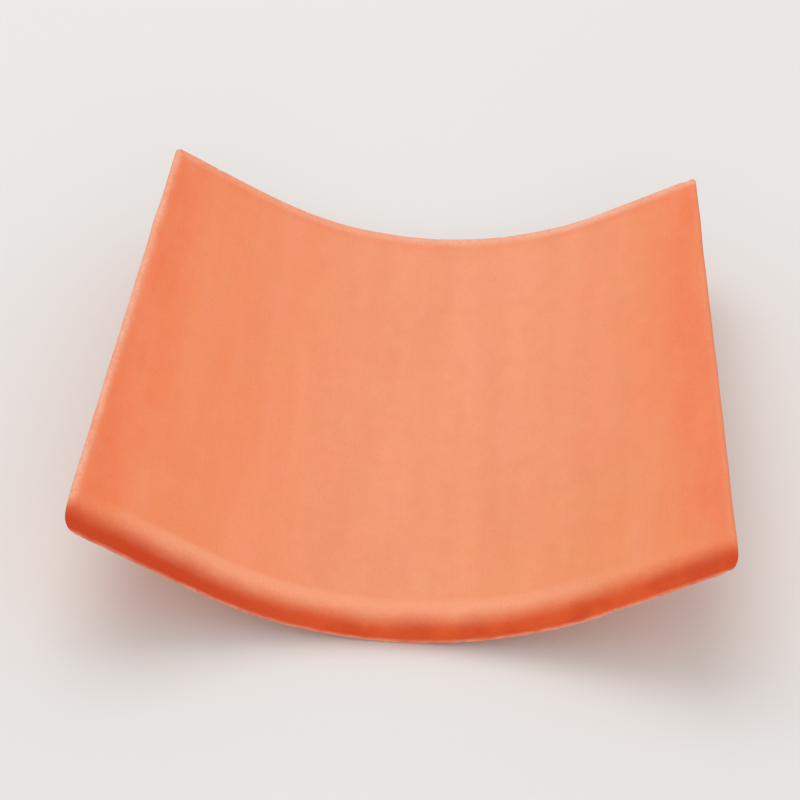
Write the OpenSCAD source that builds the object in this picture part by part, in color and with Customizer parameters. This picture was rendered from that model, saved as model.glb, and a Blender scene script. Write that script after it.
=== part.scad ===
// Pan tile of fired clay: a trough with a bent middle and flat flanks, trimmed narrower towards its head.
// It lies hollow side up, on the lowest line of its curved back, with its rolled nose towards -Y.

/* [Trough] */
// Width between the top edges at the nose, the wide end
nose_width = 206; // [160:1:260]
// Width between the top edges at the head, the narrow end
head_width = 183; // [140:1:240]
// Length from the nose to the head
tile_length = 200; // [120:1:320]
// Thickness of the fired clay
clay_thickness = 11; // [9:0.5:16]
// Radius of the trough where its middle is bent
bend_radius = 121; // [60:1:135]
// Slope of the flat flanks on both sides of the bend, in degrees
flank_angle = 29.5; // [15:0.5:40]

/* [Edges] */
// Radius that rolls the top of the nose over to its face
nose_radius = 6; // [2:0.5:7.5]
// Radius of the other edges of the nose and of the head
arris_radius = 1.2; // [0.4:0.1:1.5]
// Radius of the top edge along each side
side_top_radius = 1.5; // [0.5:0.1:2]
// Radius that rolls the back of the tile up into each side
side_back_radius = 9; // [2:0.5:10]
// Lean of the trimmed sides away from upright, in degrees
side_draft = 8; // [0:1:20]

/* [Hidden] */
$fn = 96;

// Length by which a cut runs past what it cuts
overrun = 20;
// Radius along a side as a share of the one that would only touch both of its faces
crease_share = 1.03;
// Angle by which the bend of each half runs on past the middle of the tile, into the other half
lap_angle = 5;

back_radius = bend_radius + clay_thickness;
// Flat run of the trough from the bend to the top edge, at each end
nose_flank = flank_run(nose_width);
head_flank = flank_run(head_width);
taper = abs(nose_flank - head_flank);
// Angle by which the trimmed sides close in towards the head, in the lie of a flank
trim_angle = atan((nose_flank - head_flank) / tile_length);
// Angle of the clay at the top edge of a side, between the trough and the trimmed face
edge_angle = 90 - flank_angle + side_draft;

function flank_run(width) = (width / 2 - bend_radius * sin(flank_angle)) / cos(flank_angle);

// What rounding takes off a corner at the origin, with its clay between +X and +X turned by angle
module corner_waste(radius, angle = 90, swell_share = 1) {
    tangent = radius / tan(angle / 2);
    outer = overrun / sin(angle / 2);
    along = [cos(angle), sin(angle)];
    outward = [-sin(angle), cos(angle)];
    difference() {
        polygon([
            [tangent, radius],
            [tangent, 0],
            [tangent, -overrun],
            -outer * [cos(angle / 2), sin(angle / 2)],
            tangent * along + overrun * outward,
            tangent * along
        ]);
        translate([tangent, radius]) circle(radius * swell_share);
    }
}

// Section along the trough, seen with the nose at the left and the back of the tile at the bottom
module long_section() {
    difference() {
        square([tile_length, clay_thickness]);
        corner_waste(arris_radius);
        translate([0, clay_thickness]) rotate(-90) corner_waste(nose_radius);
        translate([tile_length, 0]) rotate(90) corner_waste(arris_radius);
        translate([tile_length, clay_thickness]) rotate(180) corner_waste(arris_radius);
    }
}

// The long section held upright at its distance from the axis of the bend, which is Z here
module section_at_bend() {
    translate([back_radius, 0]) rotate(90) long_section();
}

// Half of the bend and the flat slab that runs on from it, past where its side is trimmed
module untrimmed_half() {
    rotate(90 - flank_angle) {
        rotate_extrude(angle = flank_angle + lap_angle) section_at_bend();
        rotate([90, 0, 0]) linear_extrude(nose_flank + taper + overrun) section_at_bend();
    }
}

// Section across a flank of what the trimming of a side takes off, with the top edge at the origin
module side_waste_section() {
    edge_lean = [1, 1 / tan(edge_angle)];
    past_back = clay_thickness + overrun;
    past_side = -2 * (taper + overrun);
    polygon([
        -overrun * edge_lean,
        past_back * edge_lean,
        [past_back, past_side],
        [-overrun, past_side]
    ]);
    rotate(90 - edge_angle)
        corner_waste(side_top_radius, edge_angle, crease_share);
    translate(clay_thickness * edge_lean)
        rotate(90)
            corner_waste(side_back_radius, 180 - edge_angle, crease_share);
}

// The trimming of the +X side, along its top edge from past the nose to past the head
module side_waste() {
    rotate(90 - flank_angle)
        translate([bend_radius, -nose_flank, 0])
            rotate([-trim_angle, 0, 0])
                translate([0, 0, -overrun])
                    linear_extrude(tile_length / cos(trim_angle) + 2 * overrun)
                        side_waste_section();
}

// The half of the tile on the +X side
module half_tile() {
    difference() {
        untrimmed_half();
        side_waste();
    }
}

module pan_tile() {
    color("#ee9871")
        translate([0, -tile_length / 2, back_radius])
            rotate([-90, 0, 0])
                union() {
                    half_tile();
                    mirror([1, 0, 0]) half_tile();
                }
}

pan_tile();
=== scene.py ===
"""Pan tile of fired clay: the visual model of one roof tile, and the stage that it is shown on.

The file is laid out as an add-on and run as a script. The main sizes of the tile are read off its
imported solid. The clay is drawn as a flat slab first, by its run across the tile, its place along the
tile and its depth below the trough face, and the slab is then bent into the trough.
"""

import math
import random
from collections import namedtuple

import bpy
from bpy.props import FloatProperty, FloatVectorProperty, IntProperty, PointerProperty
from mathutils import Matrix, Vector, noise
from mathutils.bvhtree import BVHTree


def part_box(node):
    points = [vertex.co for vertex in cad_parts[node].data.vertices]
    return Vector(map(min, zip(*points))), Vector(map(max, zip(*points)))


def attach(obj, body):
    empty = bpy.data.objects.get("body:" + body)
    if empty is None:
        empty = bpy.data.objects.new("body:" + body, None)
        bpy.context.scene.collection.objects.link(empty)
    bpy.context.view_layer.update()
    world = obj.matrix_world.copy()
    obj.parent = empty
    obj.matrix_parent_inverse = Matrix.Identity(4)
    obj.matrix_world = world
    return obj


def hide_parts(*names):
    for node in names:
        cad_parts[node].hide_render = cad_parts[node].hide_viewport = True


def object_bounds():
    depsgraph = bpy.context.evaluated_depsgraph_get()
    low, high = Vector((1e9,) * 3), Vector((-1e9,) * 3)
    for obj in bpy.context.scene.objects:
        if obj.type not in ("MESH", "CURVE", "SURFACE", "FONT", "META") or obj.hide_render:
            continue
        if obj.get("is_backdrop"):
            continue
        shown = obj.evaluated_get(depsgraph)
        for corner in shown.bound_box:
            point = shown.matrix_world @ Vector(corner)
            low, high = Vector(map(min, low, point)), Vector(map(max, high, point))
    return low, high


bl_info = {
    "name": "Clay pan tile",
    "version": (1, 0, 0),
    "blender": (4, 5, 0),
    "location": "View3D > Sidebar > Pan Tile",
    "description": "Builds a pan tile of fired clay on its packed frame, and a plain stage for it",
    "category": "Add Mesh",
}

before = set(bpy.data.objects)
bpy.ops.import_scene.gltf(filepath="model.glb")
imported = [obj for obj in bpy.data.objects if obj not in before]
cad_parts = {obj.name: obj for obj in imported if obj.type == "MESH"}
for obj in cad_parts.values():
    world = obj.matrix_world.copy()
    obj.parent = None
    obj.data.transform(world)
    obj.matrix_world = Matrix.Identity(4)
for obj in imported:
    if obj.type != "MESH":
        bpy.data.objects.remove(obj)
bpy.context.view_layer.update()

NODE = "pan_tile"
BODY = "root"
SLOT = "fired_clay"

MM = 0.001
# Where the slope of a flank is read, as shares of the half width
FLANK_SHARES = (0.7, 0.85)
# Where the clay thickness is read, a little off the middle line so that no edge of the solid lies there
MIDDLE_SHARE = 0.01


def measure_solid():
    """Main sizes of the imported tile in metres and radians, read off its solid from straight above."""
    low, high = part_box(NODE)
    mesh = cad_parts[NODE].data
    points = [vertex.co for vertex in mesh.vertices]
    tree = BVHTree.FromPolygons(points, [list(face.vertices) for face in mesh.polygons])
    middle = (low.y + high.y) / 2

    def trough_point(share):
        start = Vector((high.x * share, middle, 2 * high.z))
        hit = tree.ray_cast(start, Vector((0, 0, -1)))[0]
        return hit.x, hit.z - low.z

    thickness = trough_point(MIDDLE_SHARE)[1]
    (inner_x, inner_z), (outer_x, outer_z) = map(trough_point, FLANK_SHARES)
    slope = math.atan2(outer_z - inner_z, outer_x - inner_x)
    rise = inner_x * math.sin(slope) + (thickness - inner_z) * math.cos(slope)
    near_nose = low.y + (high.y - low.y) / 4
    near_head = high.y - thickness / 2
    return {
        "nose": low.y,
        "head": high.y,
        "floor": low.z,
        "thickness": thickness,
        "slope": slope,
        "bend": rise / (1 - math.cos(slope)),
        "nose_reach": max(point.x for point in points if point.y < near_nose),
        "head_reach": max(point.x for point in points if point.y > near_head),
    }


SOLID = measure_solid()


def display(red, green, blue):
    """Linear colour of a display colour that is given in 0 to 255."""
    shares = [level / 255 for level in (red, green, blue)]
    return tuple(s / 12.92 if s <= 0.04045 else ((s + 0.055) / 1.055) ** 2.4 for s in shares)


def number(name, default, description, **options):
    """Property for a number that isn't negative."""
    return FloatProperty(name=name, description=description, default=default, min=0, **options)


def length(name, default, description):
    """Property for a length in metres."""
    return number(name, default, description, unit="LENGTH", precision=5)


def angle(name, default, description):
    """Property for an angle in radians."""
    return FloatProperty(name=name, description=description, default=default, subtype="ANGLE")


def colour(name, default, description):
    """Property for a colour whose default is a display colour."""
    return FloatVectorProperty(
        name=name,
        description=description,
        default=display(*default),
        min=0,
        max=1,
        size=3,
        subtype="COLOR",
    )


class TileSizes(bpy.types.PropertyGroup):
    """Sizes of the clay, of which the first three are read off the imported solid."""

    thickness: length("Clay thickness", SOLID["thickness"], "Thickness of the fired clay")
    bend_radius: length("Bend radius", SOLID["bend"], "Radius of the trough where its middle is bent")
    flank_slope: angle("Flank slope", SOLID["slope"], "Slope of the flat flanks beside the bend")
    side_draft: angle("Side draft", math.radians(8), "Lean of the trimmed sides away from upright")
    nose_radius: length("Nose roll", 6 * MM, "Radius that rolls the top of the nose over to its face")
    arris_radius: length("Arris", 1.2 * MM, "Radius of the other edges of the nose and the head")
    side_top_radius: length("Side arris", 1.5 * MM, "Radius of the top edge along each side")
    side_back_radius: length("Side roll", 9 * MM, "Radius that rolls the back up into each side")
    corner_radius: length("Upright corners", 1.1 * MM, "Radius of the four upright corners")
    mesh_step: length("Mesh step", 1.15 * MM, "Distance between neighbouring points of the mesh")


class HandWork(bpy.types.PropertyGroup):
    """How far the clay strays from a true form, as it does when it is made and fired by hand."""

    warp_height: length("Warp", 0.45 * MM, "Height of the slow waves that firing leaves in the clay")
    warp_span: length("Warp span", 80 * MM, "Span of those waves")
    crest_stray: length("Crest stray", 0.7 * MM, "How far the crest of the nose wanders along the tile")
    edge_stray: length("Edge stray", 0.3 * MM, "How far the trimmed edges wander from a straight line")
    stray_span: length("Stray span", 22 * MM, "Span of the wander of crest and edges")
    drag_depth: length("Drag depth", 0.05 * MM, "Depth of the marks that wiping leaves in the trough")
    drag_spacing: length("Drag spacing", 5 * MM, "Spacing of those marks across the trough")
    sand_height: length("Sand height", 0.12 * MM, "Height of the grit that the sanded back carries")
    sand_size: length("Sand size", 3 * MM, "Spacing of that grit")
    nick_radius: length("Nick", 2.4 * MM, "Radius of the largest nicks in the arrises")
    nick_count: IntProperty(
        name="Nicks", description="Number of nicks along each edge", default=5, min=0
    )
    seed: IntProperty(name="Seed", description="Number that sets where the nicks fall", default=11)


class ClayColours(bpy.types.PropertyGroup):
    """Colours of the fired clay, with painted light among them: sheen and shade across the trough,
    shade beside the sides and at the nose, highlights along the crest and the arrises.
    """

    # Field and flank paint light across the trough: a painted sheen along the pale middle, painted
    # shade on the flanks
    field: colour("Field", (241, 157, 119), "Clay along the palest line of the trough")
    flank: colour("Flank", (244, 138, 89), "Clay of the flanks, fired a little harder")
    amber: colour("Amber", (242, 150, 97), "Warmer clay behind the nose, towards its +X end")
    # Edge is painted shade beside the sides, and darker along the head
    edge: colour("Edge", (241, 125, 79), "Clay along the edges, fired harder still")
    pink: colour("Pink", (246, 146, 118), "Pinker patches")
    ochre: colour("Ochre", (240, 160, 108), "Yellower patches")
    pale: colour("Pale", (251, 163, 126), "Paler patches")
    dark: colour("Dark", (229, 138, 100), "Darker patches")
    # Crest is a painted highlight along the crest of the nose
    crest: colour("Crest", (248, 164, 125), "Clay rubbed pale along the crest of the nose")
    # Nose and nose end are painted shade, darker and redder over the nose roll and face
    nose: colour("Nose", (226, 89, 40), "Clay of the nose face, fired redder")
    nose_deeper_shade: colour("Nose end", (199, 57, 21), "Deeper red towards the -X end of the nose")
    # Rim is a painted highlight along the arrises, broken up like wear
    rim: colour("Rim", (245, 184, 155), "Clay rubbed pale along the arrises")
    back: colour("Back", (231, 136, 96), "Clay of the sanded back")
    back_pale: colour("Back patches", (238, 156, 118), "Patches of the back where sand still shows")
    sand: colour("Sand", (244, 186, 148), "Grains of sand that stuck to the back")
    grit: colour("Grit", (196, 108, 74), "Dark grains in the clay")


class StageSetup(bpy.types.PropertyGroup):
    """Floor, lights and camera."""

    floor: colour("Floor", (232, 230, 227), "Colour of the floor and the backdrop")
    sky: number("Sky", 0.84, "Level of the even light from all round")
    key_power: number("Key", 8.2, "Power of the main light", unit="POWER")
    fill_power: number("Fill", 5, "Power of the light in front", unit="POWER")
    light_size: length("Light size", 1.1, "Width of both lights")
    azimuth: angle("Azimuth", math.radians(2.357), "Turn of the camera round the tile")
    elevation: angle("Elevation", math.radians(39.634), "Height of the camera above the horizon")
    roll: angle("Roll", math.radians(1.928), "Turn of the camera about its own line of sight")
    distance: length("Distance", 1.1381, "Distance from the camera to its target")
    lens: number("Lens", 152.45, "Focal length in millimetres", unit="CAMERA")
    target: FloatVectorProperty(
        name="Target",
        description="Point that the camera looks at",
        default=(-5.57 * MM, 0, 17.12 * MM),
        subtype="TRANSLATION",
        unit="LENGTH",
    )


# Form of the clay

# Place of an outline along the tile, depths of its top and back, and how far its sides are drawn in
Station = namedtuple("Station", "along top back draw_in")
Nick = namedtuple("Nick", "place inward radius")
# Strength at the -X and at the +X end, width at full strength, and the width over which it fades
Strip = namedtuple("Strip", "left right full fade")

# Points along each rounded corner of an outline, and stations round the nose roll and the head arris
CORNER_STEPS = 7
NOSE_STEPS = 16
HEAD_STEPS = 7
# Most that the two roundings of a side may take of its height
SIDE_SHARE = 0.94
# Seeds of the waves in the clay, so that no two of them run alike
SIDE_SEED, CREST_SEED, NOSE_SEED, HEAD_SEED, WARP_SEED, DRAG_SEED, SAND_SEED, STRIP_SEED = range(2, 10)
# How far the wander of an edge reaches into the clay, in radii of the nose roll
STRAY_REACH = 2
# Length of a drag mark against its width
DRAG_STRETCH = 14
# Depth of a nick against its radius, and the smallest nick against the largest
BITE_SHARE = 0.24
SMALL_NICK_SHARE = 0.35
# Painted highlight in pale strips along the arrises, strongest where an edge faces the light
HEAD_HIGHLIGHT = Strip(0.35, 0.9, 2.2 * MM, 4 * MM)
SIDE_HIGHLIGHT = Strip(0.75, 0.12, 0.8 * MM, 3.2 * MM)
FOOT_HIGHLIGHT = Strip(0.6, 0.7, 0.4 * MM, 1.8 * MM)
# Darker strips along the arrises: painted shade beside the sides, and a darker strip along the head
HEAD_DARK_STRIP = Strip(0.5, 0.45, 5 * MM, 5 * MM)
SIDE_SHADE_STRIP = Strip(1.0, 0.95, 6 * MM, 20 * MM)
# How far the width of a strip wanders, and the span of that wander
STRIP_STRAY = 0.5 * MM
STRIP_SPAN = 6 * MM
# How much sooner a strip of the head ends on the head face than in the trough
FACE_TIMES = 2.5
# Where the finish of the back starts: height above the back as a share of the thickness, and distance
# from the ends of the tile in radii of the arris
BACK_HEIGHT = 0.25
BACK_INSET = 2


def edge_angle(sizes):
    """Angle of the clay at the top edge of a side, between the trough and the trimmed face."""
    return math.pi / 2 - sizes.flank_slope + sizes.side_draft


def edge_run(sizes, along):
    """Run across the clay from the middle line to the top edge of a side."""
    edge, slope = edge_angle(sizes), sizes.flank_slope
    widest_depth = sizes.thickness - sizes.side_back_radius * math.tan(edge / 2) * math.sin(edge)
    overhang = widest_depth * (math.sin(slope) - math.cos(slope) / math.tan(edge))
    share = (along - SOLID["nose"]) / (SOLID["head"] - SOLID["nose"])
    reach = SOLID["nose_reach"] + share * (SOLID["head_reach"] - SOLID["nose_reach"]) - overhang
    flat = (reach - sizes.bend_radius * math.sin(slope)) / math.cos(slope)
    return sizes.bend_radius * slope + flat


def bent(sizes, run, along, depth):
    """Place of a point of the flat clay after bending."""
    side = math.copysign(1, run)
    turn = min(abs(run) / sizes.bend_radius, sizes.flank_slope)
    flat = max(abs(run) - sizes.bend_radius * sizes.flank_slope, 0)
    radius = sizes.bend_radius + depth
    axis_height = SOLID["floor"] + sizes.bend_radius + sizes.thickness
    return Vector((
        side * (radius * math.sin(turn) + flat * math.cos(turn)),
        along,
        axis_height - radius * math.cos(turn) + flat * math.sin(turn),
    ))


def rounding(distance, radius):
    """How far a rounded edge lies below its face, at a distance from the end."""
    if distance >= radius:
        return 0
    return radius - math.sqrt(radius**2 - (radius - distance) ** 2)


def rounded_places(radius, steps):
    """Distances from an end at which stations follow a rounded edge."""
    return [radius * (1 - math.cos(math.pi / 2 * i / steps)) for i in range(steps)]


def stations(sizes):
    """Where outlines are drawn: over the nose face, from the nose to the head, over the head face."""
    nose, head = SOLID["nose"], SOLID["head"]
    span = head - nose
    head_zone = max(sizes.arris_radius, sizes.corner_radius)
    plain = span - sizes.nose_radius - head_zone
    count = round(plain / sizes.mesh_step)
    places = rounded_places(sizes.nose_radius, NOSE_STEPS)
    places += [sizes.nose_radius + plain * i / count for i in range(count + 1)]
    places += [span - place for place in reversed(rounded_places(head_zone, HEAD_STEPS))]
    body = [
        Station(
            nose + place,
            max(rounding(place, sizes.nose_radius), rounding(span - place, sizes.arris_radius)),
            sizes.thickness - rounding(min(place, span - place), sizes.arris_radius),
            rounding(min(place, span - place), sizes.corner_radius),
        )
        for place in places
    ]
    return face_rings(sizes, body[0])[::-1] + body + face_rings(sizes, body[-1])


def face_rings(sizes, end):
    """Outlines that step inwards from an end of the tile over its face."""
    count = int((end.back - end.top) / 2 / sizes.mesh_step)
    insets = [sizes.mesh_step * i for i in range(1, count + 1)]
    return [Station(end.along, end.top + i, end.back - i, end.draw_in + i) for i in insets]


def fillet(corner, before, after, radius):
    """Arc that rounds a corner between the directions to the points before and after it."""
    half = before.angle(after) / 2
    centre = corner + (before + after).normalized() * (radius / math.sin(half))
    touch = radius / math.tan(half)
    first = (corner + before * touch - centre).normalized()
    last = (corner + after * touch - centre).normalized()
    return [centre + first.slerp(last, i / CORNER_STEPS) * radius for i in range(CORNER_STEPS + 1)]


def side_outline(sizes, station):
    """Outline of the +X side from the trough face down to the back, as run and depth."""
    edge = edge_angle(sizes)
    inward, down = Vector((-1, 0)), Vector((-math.cos(edge), math.sin(edge)))
    run = edge_run(sizes, station.along) - station.draw_in
    upper = Vector((run - station.top / math.tan(edge), station.top))
    lower = Vector((run - station.back / math.tan(edge), station.back))
    taken = sizes.side_top_radius / math.tan(edge / 2) + sizes.side_back_radius * math.tan(edge / 2)
    fit = min(1, SIDE_SHARE * (lower - upper).length / taken)
    top_arc = fillet(upper, inward, down, sizes.side_top_radius * fit)
    return top_arc + fillet(lower, -down, inward, sizes.side_back_radius * fit)


def row(first, last, count):
    """Points between two ends, without the ends."""
    return [first.lerp(last, i / count) for i in range(1, count)]


def outline(sizes, station, columns):
    """Closed outline round the clay at a station: +X side, back, -X side and trough face."""
    right = side_outline(sizes, station)
    left = [Vector((-point.x, point.y)) for point in reversed(right)]
    return right + row(right[-1], left[0], columns) + left + row(left[-1], right[0], columns)


def nicks(sizes, work):
    """Nicks scattered along the head, the two sides and the foot of the nose."""
    draw = random.Random(work.seed)
    nose, head = SOLID["nose"], SOLID["head"]
    found = []
    for _ in range(work.nick_count):
        run = draw.uniform(-1, 1) * edge_run(sizes, head)
        found.append((Vector((run, head, 0)), Vector((0, -1, 1))))
        run = draw.uniform(-1, 1) * edge_run(sizes, nose)
        found.append((Vector((run, nose, sizes.thickness)), Vector((0, 1, -1))))
        for side in (-1, 1):
            along = draw.uniform(nose, head)
            found.append((Vector((side * edge_run(sizes, along), along, 0)), Vector((-side, 0, 1))))
    radii = [work.nick_radius * draw.uniform(SMALL_NICK_SHARE, 1) for _ in found]
    return [Nick(place, inward.normalized(), radius) for (place, inward), radius in zip(found, radii)]


def wave(seed, *places):
    """Smooth noise between -1 and 1 at up to two places, each given in spans."""
    across, along = (*places, 0)[:2]
    return noise.noise(Vector((across, along, seed)))


def near(distance, reach):
    """1 at an edge, falling smoothly to 0 at its reach."""
    share = max(0, 1 - distance / reach)
    return share * share * (3 - 2 * share)


def hand_worked(sizes, work, point):
    """A point of the flat clay after pressing, wiping, trimming and firing, before its nicks."""
    run, along, depth = point
    side = math.copysign(1, run)
    upper = 1 - depth / sizes.thickness
    reach = STRAY_REACH * sizes.nose_radius
    by_nose = near(along - SOLID["nose"], reach)
    by_head = near(SOLID["head"] - along, reach)
    by_side = near(edge_run(sizes, along) - abs(run), reach)
    drag_span = work.drag_spacing * DRAG_STRETCH
    shift = Vector((0, 0, 0))
    shift.x += side * work.edge_stray * by_side * wave(side * SIDE_SEED, along / work.stray_span)
    shift.y += work.crest_stray * by_nose * upper * wave(CREST_SEED, run / work.stray_span)
    shift.y += work.edge_stray * by_nose * wave(NOSE_SEED, run / work.stray_span)
    shift.y += work.edge_stray * by_head * wave(HEAD_SEED, run / work.stray_span)
    shift.z += work.warp_height * wave(WARP_SEED, run / work.warp_span, along / work.warp_span)
    shift.z += work.drag_depth * upper * wave(DRAG_SEED, run / work.drag_spacing, along / drag_span)
    sanded = work.sand_height * (1 - upper)
    shift.z += sanded * wave(SAND_SEED, run / work.sand_size, along / work.sand_size)
    return point + shift


def nicked(point, all_nicks):
    """A point of the flat clay after the nicks near it have taken their bite."""
    for nick in all_nicks:
        distance = (point - nick.place).length
        if distance < nick.radius:
            point = point + nick.inward * (nick.radius * BITE_SHARE * near(distance, nick.radius))
    return point


def edge_distances(sizes, point):
    """Distances from a point of the flat clay to the arrises of head, side and foot of the nose."""
    run, along, depth = point
    to_nose, to_head = along - SOLID["nose"], SOLID["head"] - along
    to_side = edge_run(sizes, along) - abs(run)
    return (
        math.hypot(to_head, FACE_TIMES * depth),
        math.hypot(to_side, depth),
        math.hypot(to_nose, sizes.thickness - depth),
    )


def strip_share(sizes, point, strips):
    """How far a point of the flat clay lies in one of the strips along the arrises, from 0 to 1."""
    half = edge_run(sizes, SOLID["nose"])
    towards_right = 1 - near(point.x + half, 2 * half)
    stray = STRIP_STRAY * wave(STRIP_SEED, point.x / STRIP_SPAN, (point.y + point.z) / STRIP_SPAN)
    shares = []
    for distance, strip in zip(edge_distances(sizes, point), strips):
        strength = strip.left + towards_right * (strip.right - strip.left)
        past_full = max(0, distance + stray - strip.full)
        shares.append(strength * near(past_full, strip.fade))
    return max(shares)


def rim_highlight_share(sizes, point):
    """How far a point of the flat clay carries the painted highlight along an arris, from 0 to 1."""
    return strip_share(sizes, point, (HEAD_HIGHLIGHT, SIDE_HIGHLIGHT, FOOT_HIGHLIGHT))


def dark_strip_share(sizes, point):
    """How far a point of the flat clay lies in a darker strip along an arris, painted shade beside the
    sides, from 0 to 1.
    """
    return strip_share(sizes, point, (HEAD_DARK_STRIP, SIDE_SHADE_STRIP))


def nose_share(sizes, point):
    """How far a point of the flat clay lies round the nose roll, from 0 behind it to 1 on the face."""
    share = min(1, max(0, (point.y - SOLID["nose"]) / sizes.nose_radius))
    return 1 - math.acos(1 - share) / (math.pi / 2)


def back_share(sizes, point):
    """How far a point of the flat clay belongs to the sanded back, from 0 to 1."""
    to_end = min(point.y - SOLID["nose"], SOLID["head"] - point.y)
    under = near(sizes.thickness - point.z, BACK_HEIGHT * sizes.thickness)
    return under * (1 - near(to_end, BACK_INSET * sizes.arris_radius))


def loft_faces(loops, ring, columns):
    """Faces between neighbouring outlines, and those that close the two end faces."""
    side = 2 * (CORNER_STEPS + 1)
    faces = []
    for i in range(loops - 1):
        for j in range(ring):
            k = (j + 1) % ring
            faces.append((i * ring + j, i * ring + k, (i + 1) * ring + k, (i + 1) * ring + j))
    right = list(range(side))
    left = list(range(side + columns - 1, 2 * side + columns - 1))
    under = [right[-1], *range(side, side + columns - 1), left[0]]
    over = [right[0], *range(ring - 1, left[-1], -1), left[-1]]
    strips = [(under[i], under[i + 1], over[i + 1], over[i]) for i in range(columns)]
    cap = [right, left, *strips]
    last = (loops - 1) * ring
    faces += [tuple(reversed(face)) for face in cap]
    faces += [tuple(last + index for index in face) for face in cap]
    return faces


def keep_values(mesh, name, kind, field, values):
    """Keeps a value for each point of the mesh under a name that its material can read."""
    mesh.attributes.new(name, kind, "POINT").data.foreach_set(field, values)


def tile_mesh(sizes, work):
    """Mesh of the whole tile, with what its finish needs kept on each point."""
    columns = round(2 * edge_run(sizes, SOLID["nose"]) / sizes.mesh_step)
    all_stations = stations(sizes)
    flat = [
        Vector((point.x, station.along, point.y))
        for station in all_stations
        for point in outline(sizes, station, columns)
    ]
    all_nicks = nicks(sizes, work)
    worked = [nicked(hand_worked(sizes, work, point), all_nicks) for point in flat]
    faces = loft_faces(len(all_stations), len(flat) // len(all_stations), columns)
    mesh = bpy.data.meshes.new(NODE)
    mesh.from_pydata([bent(sizes, *point) for point in worked], [], faces)
    mesh.polygons.foreach_set("use_smooth", [True] * len(faces))
    places = [part for point in flat for part in point]
    keep_values(mesh, "flat_place", "FLOAT_VECTOR", "vector", places)
    for share_at in (nose_share, back_share, rim_highlight_share, dark_strip_share):
        shares = [share_at(sizes, point) for point in flat]
        keep_values(mesh, share_at.__name__, "FLOAT", "value", shares)
    if mesh.validate():
        raise RuntimeError("the outlines of the tile don't join into a clean mesh")
    return mesh


# Shader wiring

# Seed of a noise, spacing of its features, how far they are drawn out across the tile, along it and
# through the clay, and the detail in them
Pattern = namedtuple("Pattern", "seed spacing stretch detail", defaults=((1, 1, 1), 2))
# Distance between grains, and the radius of the largest as a share of it
Grains = namedtuple("Grains", "spacing largest")
# Values between which a smooth step lies, and what it gives at each of them
Step = namedtuple("Step", "low high start end", defaults=(0, 1))

# Soft edge of a grain as a share of the radius of the largest
GRAIN_EDGE = 1 / 3


def add(tree, kind, **options):
    """A new node with its own options set."""
    node = tree.nodes.new(kind)
    for name, value in options.items():
        setattr(node, name, value)
    return node


def feed(tree, socket, source):
    """Links an output to an input, or sets the input to a value."""
    if isinstance(source, bpy.types.NodeSocket):
        tree.links.new(source, socket)
    else:
        socket.default_value = source


def calculate(tree, operation, *values):
    """Result of a math node."""
    node = add(tree, "ShaderNodeMath", operation=operation)
    for socket, value in zip(node.inputs, values):
        feed(tree, socket, value)
    return node.outputs[0]


def ramp(tree, value, step):
    """Smooth step of a value."""
    node = add(tree, "ShaderNodeMapRange", interpolation_type="SMOOTHSTEP")
    feed(tree, node.inputs["Value"], value)
    for name, level in zip(("From Min", "From Max", "To Min", "To Max"), step):
        node.inputs[name].default_value = level
    return node.outputs["Result"]


def blend(tree, factor, first, second):
    """Colour between the first and the second."""
    node = add(tree, "ShaderNodeMix", data_type="RGBA")
    # The node has sockets of the same names for every kind of data, so those for colours go by number
    for index, source in ((0, factor), (6, first), (7, second)):
        feed(tree, node.inputs[index], source)
    return node.outputs[2]


def noise_at(tree, place, pattern):
    """Noise of a pattern over the flat clay."""
    scaled = add(tree, "ShaderNodeVectorMath", operation="MULTIPLY")
    feed(tree, scaled.inputs[0], place)
    scaled.inputs[1].default_value = [1 / pattern.spacing / times for times in pattern.stretch]
    node = add(tree, "ShaderNodeTexNoise", noise_dimensions="4D")
    feed(tree, node.inputs["Vector"], scaled.outputs[0])
    for name, value in (("W", pattern.seed), ("Scale", 1), ("Detail", pattern.detail)):
        node.inputs[name].default_value = value
    return node.outputs[0]


def grains_at(tree, place, grains):
    """Mask of single grains of mixed size over the flat clay."""
    scaled = add(tree, "ShaderNodeVectorMath", operation="SCALE")
    feed(tree, scaled.inputs[0], place)
    scaled.inputs["Scale"].default_value = 1 / grains.spacing
    cells = add(tree, "ShaderNodeTexVoronoi", feature="F1")
    feed(tree, cells.inputs["Vector"], scaled.outputs[0])
    cells.inputs["Scale"].default_value = 1
    radius = calculate(tree, "MULTIPLY", cells.outputs["Color"], grains.largest)
    inside = calculate(tree, "SUBTRACT", radius, cells.outputs["Distance"])
    return ramp(tree, inside, Step(0, grains.largest * GRAIN_EDGE))


def attribute(tree, name, output="Fac"):
    """Value that the mesh keeps under a name."""
    return add(tree, "ShaderNodeAttribute", attribute_name=name).outputs[output]


def new_material(name):
    """Material without nodes, and its node tree."""
    material = bpy.data.materials.new(name)
    material.use_nodes = True
    material.node_tree.nodes.clear()
    return material, material.node_tree


def show(tree, shader):
    """Gives a shader to the surface."""
    output = add(tree, "ShaderNodeOutputMaterial")
    tree.links.new(shader.outputs["BSDF"], output.inputs["Surface"])


def rgba(value):
    """Colour with full cover."""
    return (*value, 1.0)


# Finish of the clay

# What the finish is laid out by: the place in the flat clay, the place across the tile from -1 to 1 at
# the edges of the nose, the distance from the nose in radii of its roll, masks and grains
Clay = namedtuple("Clay", "place across from_nose on_nose on_back grain sand")
Patch = namedtuple("Patch", "tint pattern strength")

GRAIN = Pattern(29, 0.7 * MM, detail=5)
SAND = Grains(1.7 * MM, 0.3)
GRIT = Grains(2.4 * MM, 0.25)
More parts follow.
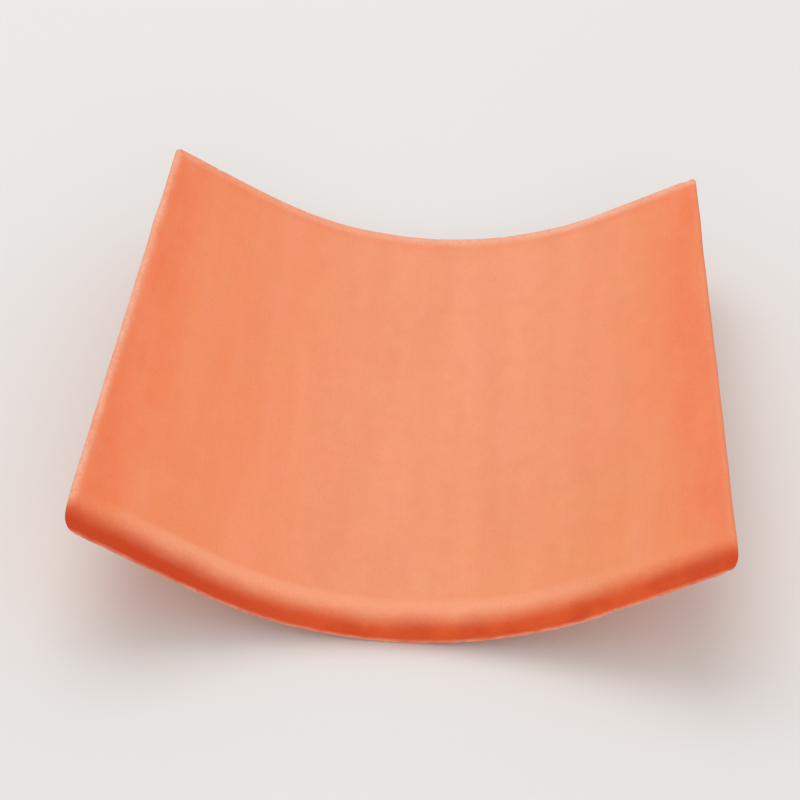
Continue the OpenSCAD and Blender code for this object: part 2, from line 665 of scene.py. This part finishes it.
# Painted light across the trough: a painted sheen along its palest line, a little to +X of the middle,
# and painted shade out to the flanks, which also have weaker patches
SHADE_OUT_RIGHT = Step(0.2, 1.05)
SHADE_OUT_LEFT = Step(0.2, -0.9)
CALM_OUTWARDS = Step(0, 1, 1, 0.55)
# Warmer clay behind the nose, on the +X side
WARM_ACROSS = Step(0, 0.3, 0, 0.6)
WARM_ALONG = Step(15, 2.5)
# Patches and streaks of the trough, and the levels of noise between which they come up
PATCHES = (
    Patch("pale", Pattern(1, 12 * MM, (1, 9, 1), 3), 0.45),
    Patch("dark", Pattern(2, 16 * MM, (1, 8, 1), 3), 0.4),
    Patch("pink", Pattern(3, 11 * MM, (1, 1.6, 1), 3), 0.35),
    Patch("ochre", Pattern(4, 13 * MM, (1, 1.6, 1), 3), 0.4),
    Patch("pale", Pattern(5, 5 * MM, (1, 1.3, 1), 3), 0.2),
    Patch("dark", Pattern(6, 6 * MM, (1, 1.3, 1), 3), 0.2),
)
PATCH_LEVELS = (0.4, 0.75)
# Painted highlight along the crest of the nose, strongest between its middle and the -X flank
CREST_HIGHLIGHT_ALONG = Step(1.6, 1.15)
CREST_HIGHLIGHT_FROM_LEFT = Step(-0.95, -0.6, 0.05, 0.7)
CREST_HIGHLIGHT_TO_RIGHT = Step(0.2, 0.8, 1, 0.1)
# Painted shade of the nose, drawn as darker, redder clay: how it sets in round the roll, how its edge
# wanders and frays, and where it is deeper
NOSE_SHADE_SETS_IN = Step(0.28, 1.16)
NOSE_STRAY = Pattern(26, 14 * MM)
NOSE_STRAY_SHARE = 0.24
NOSE_FRAY = Pattern(31, 2.5 * MM, (3, 1, 1), 4)
NOSE_FRAY_SHARE = 0.16
NOSE_DEEP_ACROSS = Step(0, -0.7, 0, 0.7)
NOSE_PATCH = Pattern(25, 12 * MM)
NOSE_PATCH_LEVELS = Step(0.4, 0.7, 0, 0.5)
# Sanded back
BACK_PATCH = Pattern(27, 16 * MM, detail=5)
BACK_PATCH_LEVELS = Step(0.35, 0.7, 0, 0.8)
SAND_STRENGTH = 0.6
# Arrises: the painted highlight comes and goes in long worn stretches and small chafed spots
WORN = Pattern(28, 18 * MM)
WORN_LEVELS = Step(0.35, 0.65, 0.75, 1.1)
CHAFED = Pattern(32, 1.8 * MM, detail=4)
CHAFED_LEVELS = Step(0.3, 0.6, 0.6, 1.15)
# Brightness and roughness by the grain, and strength of the grit from the trough to the back
GRAIN_TONE = Step(0.25, 0.75, 0.95, 1.05)
GRAIN_ROUGHNESS = Step(0.2, 0.8, 0.74, 0.9)
GRIT_STRENGTH = Step(0, 1, 0.15, 0.5)
CLAY_SPECULAR = 0.25
# Marks of wiping along the trough and of rolling the nose
WIPED = Pattern(30, 1.8 * MM, (1, 30, 1), 3)
ROLLED = Pattern(33, 1.5 * MM, (18, 1, 1), 3)
# Heights of the fine relief in millimetres
GRAIN_RISE = 0.14
WIPED_RISE = 0.09
ROLLED_RISE = 0.1
SAND_RISE = 0.25


def clay_values(tree, sizes):
    """What the finish of the tile is laid out by."""
    place = attribute(tree, "flat_place", "Vector")
    parts = add(tree, "ShaderNodeSeparateXYZ")
    feed(tree, parts.inputs[0], place)
    from_nose = calculate(tree, "SUBTRACT", parts.outputs["Y"], SOLID["nose"])
    return Clay(
        place,
        calculate(tree, "DIVIDE", parts.outputs["X"], edge_run(sizes, SOLID["nose"])),
        calculate(tree, "DIVIDE", from_nose, sizes.nose_radius),
        attribute(tree, "nose_share"),
        attribute(tree, "back_share"),
        noise_at(tree, place, GRAIN),
        grains_at(tree, place, SAND),
    )


def trough_colour(tree, clay, colours):
    """Colour of the trough: a painted sheen along the middle, painted shade on the flanks, soft patches
    and a painted highlight on the crest.
    """
    # Painted sheen along the middle and painted shade out to the flanks
    out_right, out_left = ramp(tree, clay.across, SHADE_OUT_RIGHT), ramp(tree, clay.across, SHADE_OUT_LEFT)
    flank_shade = calculate(tree, "ADD", out_right, out_left)
    base = blend(tree, flank_shade, rgba(colours.field), rgba(colours.flank))
    warm = calculate(
        tree, "MULTIPLY", ramp(tree, clay.across, WARM_ACROSS), ramp(tree, clay.from_nose, WARM_ALONG)
    )
    base = blend(tree, warm, base, rgba(colours.amber))
    # Painted shade beside the sides, and a darker strip along the head
    base = blend(tree, attribute(tree, "dark_strip_share"), base, rgba(colours.edge))
    calm = ramp(tree, flank_shade, CALM_OUTWARDS)
    for patch in PATCHES:
        level = noise_at(tree, clay.place, patch.pattern)
        mask = ramp(tree, level, Step(*PATCH_LEVELS, 0, patch.strength))
        tint = rgba(getattr(colours, patch.tint))
        base = blend(tree, calculate(tree, "MULTIPLY", mask, calm), base, tint)
    # Painted highlight along the crest of the nose
    crest = ramp(tree, clay.from_nose, CREST_HIGHLIGHT_ALONG)
    for step in (CREST_HIGHLIGHT_FROM_LEFT, CREST_HIGHLIGHT_TO_RIGHT):
        crest = calculate(tree, "MULTIPLY", crest, ramp(tree, clay.across, step))
    return blend(tree, crest, base, rgba(colours.crest))


def nose_shade_colour(tree, clay, colours):
    """Painted shade of the nose face, drawn as a darker red that is deeper towards its -X end."""
    patch = ramp(tree, noise_at(tree, clay.place, NOSE_PATCH), NOSE_PATCH_LEVELS)
    deeper = calculate(tree, "MAXIMUM", ramp(tree, clay.across, NOSE_DEEP_ACROSS), patch)
    return blend(tree, deeper, rgba(colours.nose), rgba(colours.nose_deeper_shade))


def back_colour(tree, clay, colours):
    """Colour of the back, which lay on sand while it was wet."""
    patch = ramp(tree, noise_at(tree, clay.place, BACK_PATCH), BACK_PATCH_LEVELS)
    base = blend(tree, patch, rgba(colours.back), rgba(colours.back_pale))
    return blend(tree, calculate(tree, "MULTIPLY", clay.sand, SAND_STRENGTH), base, rgba(colours.sand))


def clay_colour(tree, clay, colours):
    """Colour of the tile: trough, painted shade of the nose, back, painted highlight on the arrises,
    grain and grit.
    """
    round_nose = clay.on_nose
    for pattern, share in ((NOSE_STRAY, NOSE_STRAY_SHARE), (NOSE_FRAY, NOSE_FRAY_SHARE)):
        level = noise_at(tree, clay.place, pattern)
        round_nose = calculate(tree, "MULTIPLY_ADD", level, share, round_nose)
    base = trough_colour(tree, clay, colours)
    # Painted shade round the nose roll and over its face
    base = blend(tree, ramp(tree, round_nose, NOSE_SHADE_SETS_IN), base, nose_shade_colour(tree, clay, colours))
    base = blend(tree, clay.on_back, base, back_colour(tree, clay, colours))
    # Painted highlight along the arrises, broken up like wear
    rubbed = attribute(tree, "rim_highlight_share")
    for pattern, step in ((WORN, WORN_LEVELS), (CHAFED, CHAFED_LEVELS)):
        wear = ramp(tree, noise_at(tree, clay.place, pattern), step)
        rubbed = calculate(tree, "MULTIPLY", rubbed, wear)
    base = blend(tree, rubbed, base, rgba(colours.rim))
    tone = add(tree, "ShaderNodeHueSaturation")
    feed(tree, tone.inputs["Value"], ramp(tree, clay.grain, GRAIN_TONE))
    feed(tree, tone.inputs["Color"], base)
    strength = ramp(tree, clay.on_back, GRIT_STRENGTH)
    gritty = calculate(tree, "MULTIPLY", grains_at(tree, clay.place, GRIT), strength)
    return blend(tree, gritty, tone.outputs["Color"], rgba(colours.grit))


def relief(tree, clay):
    """Height of the fine relief in millimetres: grain, marks of wiping and rolling, and sand."""
    rolled = calculate(tree, "MULTIPLY", noise_at(tree, clay.place, ROLLED), clay.on_nose)
    layers = (
        (clay.grain, GRAIN_RISE),
        (noise_at(tree, clay.place, WIPED), WIPED_RISE),
        (rolled, ROLLED_RISE),
        (calculate(tree, "MULTIPLY", clay.sand, clay.on_back), SAND_RISE),
    )
    height = 0.0
    for layer, rise in layers:
        height = calculate(tree, "MULTIPLY_ADD", layer, rise, height)
    return height


def clay_material(sizes, colours):
    """Unglazed clay: wiped in the trough, painted red shade at the nose, sanded on the back, painted
    highlight at the arrises.
    """
    material, tree = new_material(SLOT)
    clay = clay_values(tree, sizes)
    bump = add(tree, "ShaderNodeBump")
    bump.inputs["Distance"].default_value = MM
    feed(tree, bump.inputs["Height"], relief(tree, clay))
    shader = add(tree, "ShaderNodeBsdfPrincipled")
    shader.inputs["Specular IOR Level"].default_value = CLAY_SPECULAR
    feed(tree, shader.inputs["Base Color"], clay_colour(tree, clay, colours))
    feed(tree, shader.inputs["Roughness"], ramp(tree, clay.grain, GRAIN_ROUGHNESS))
    feed(tree, shader.inputs["Normal"], bump.outputs["Normal"])
    show(tree, shader)
    return material


# Stage

# Half the width of the floor, and how matt it is
FLOOR_HALF = 4.0
FLOOR_ROUGHNESS = 0.9
# Places of the main light, behind and above the tile, and of the light in front
KEY_PLACE = Vector((-0.25, 0.6, 1.4))
FILL_PLACE = Vector((0.2, -1.4, 0.5))


def camera_matrix(stage):
    """Place and turn of the camera round its target."""
    back = Vector((
        math.sin(stage.azimuth) * math.cos(stage.elevation),
        -math.cos(stage.azimuth) * math.cos(stage.elevation),
        math.sin(stage.elevation),
    ))
    place = Vector(stage.target) + back * stage.distance
    turn = back.to_track_quat("Z", "Y").to_matrix().to_4x4()
    return Matrix.Translation(place) @ turn @ Matrix.Rotation(stage.roll, 4, "Z")


def add_camera(scene, stage):
    """Camera that the scene is seen through."""
    data = bpy.data.cameras.new("photo_view")
    data.lens = stage.lens
    camera = bpy.data.objects.new("photo_view", data)
    camera.matrix_world = camera_matrix(stage)
    scene.collection.objects.link(camera)
    scene.camera = camera


def add_floor(scene, stage):
    """Wide pale floor under the lowest point of the tile."""
    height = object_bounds()[0].z
    signs = ((-1, -1), (1, -1), (1, 1), (-1, 1))
    corners = [(x * FLOOR_HALF, y * FLOOR_HALF, height) for x, y in signs]
    mesh = bpy.data.meshes.new("floor")
    mesh.from_pydata(corners, [], [(0, 1, 2, 3)])
    material, tree = new_material("pale_floor")
    shader = add(tree, "ShaderNodeBsdfPrincipled")
    shader.inputs["Base Color"].default_value = rgba(stage.floor)
    shader.inputs["Roughness"].default_value = FLOOR_ROUGHNESS
    show(tree, shader)
    mesh.materials.append(material)
    floor = bpy.data.objects.new("floor", mesh)
    scene.collection.objects.link(floor)
    floor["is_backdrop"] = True


def add_light(scene, name, place, power, size):
    """Square soft light that looks at the tile."""
    data = bpy.data.lights.new(name, "AREA")
    data.energy = power
    data.size = size
    light = bpy.data.objects.new(name, data)
    light.matrix_world = Matrix.Translation(place) @ place.to_track_quat("Z", "Y").to_matrix().to_4x4()
    scene.collection.objects.link(light)


def set_sky(scene, stage):
    """Even light from all round, which the camera and mirrors see as a pale backdrop."""
    world = bpy.data.worlds.new("studio")
    world.use_nodes = True
    tree = world.node_tree
    tree.nodes.clear()
    light, backdrop = add(tree, "ShaderNodeBackground"), add(tree, "ShaderNodeBackground")
    light.inputs["Strength"].default_value = stage.sky
    backdrop.inputs["Color"].default_value = rgba(stage.floor)
    rays = add(tree, "ShaderNodeLightPath").outputs
    seen = calculate(tree, "MAXIMUM", rays["Is Camera Ray"], rays["Is Glossy Ray"])
    seen = calculate(tree, "MAXIMUM", seen, rays["Is Transmission Ray"])
    mix = add(tree, "ShaderNodeMixShader")
    for socket, source in zip(mix.inputs, (seen, light.outputs[0], backdrop.outputs[0])):
        tree.links.new(source, socket)
    tree.links.new(mix.outputs[0], add(tree, "ShaderNodeOutputWorld").inputs["Surface"])
    scene.world = world


# Add-on


class PANTILE_OT_tile(bpy.types.Operator):
    """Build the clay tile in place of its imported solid"""

    bl_idname = "pan_tile.tile"
    bl_label = "Build Tile"

    def execute(self, context):
        scene = context.scene
        mesh = tile_mesh(scene.tile_sizes, scene.hand_work)
        mesh.materials.append(clay_material(scene.tile_sizes, scene.clay_colours))
        tile = bpy.data.objects.new("clay_pan_tile", mesh)
        scene.collection.objects.link(tile)
        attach(tile, BODY)
        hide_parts(NODE)
        return {"FINISHED"}


class PANTILE_OT_stage(bpy.types.Operator):
    """Set out the floor, the light and the camera round the tile"""

    bl_idname = "pan_tile.stage"
    bl_label = "Set Stage"

    def execute(self, context):
        scene, stage = context.scene, context.scene.stage_setup
        scene.view_settings.view_transform = "Standard"
        add_floor(scene, stage)
        set_sky(scene, stage)
        add_light(scene, "key", KEY_PLACE, stage.key_power, stage.light_size)
        add_light(scene, "fill", FILL_PLACE, stage.fill_power, stage.light_size)
        add_camera(scene, stage)
        return {"FINISHED"}


class PANTILE_PT_panel(bpy.types.Panel):
    """Sizes and colours of the tile and the stage, with a button for each"""

    bl_idname = "PANTILE_PT_panel"
    bl_label = "Pan Tile"
    bl_space_type = "VIEW_3D"
    bl_region_type = "UI"
    bl_category = "Pan Tile"

    def draw(self, context):
        steps = (
            (PANTILE_OT_tile, ("tile_sizes", "hand_work", "clay_colours")),
            (PANTILE_OT_stage, ("stage_setup",)),
        )
        for operator, groups in steps:
            box = self.layout.box()
            for group in groups:
                values = getattr(context.scene, group)
                for name in values.__annotations__:
                    box.prop(values, name)
            box.operator(operator.bl_idname)


GROUPS = {
    "tile_sizes": TileSizes,
    "hand_work": HandWork,
    "clay_colours": ClayColours,
    "stage_setup": StageSetup,
}
CLASSES = (*GROUPS.values(), PANTILE_OT_tile, PANTILE_OT_stage, PANTILE_PT_panel)


def register():
    for cls in CLASSES:
        bpy.utils.register_class(cls)
    for name, cls in GROUPS.items():
        setattr(bpy.types.Scene, name, PointerProperty(type=cls))


def unregister():
    for name in GROUPS:
        delattr(bpy.types.Scene, name)
    for cls in reversed(CLASSES):
        bpy.utils.unregister_class(cls)


def main():
    """Registers the classes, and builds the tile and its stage."""
    register()
    bpy.ops.pan_tile.tile()
    bpy.ops.pan_tile.stage()


if __name__ == "__main__":
    main()
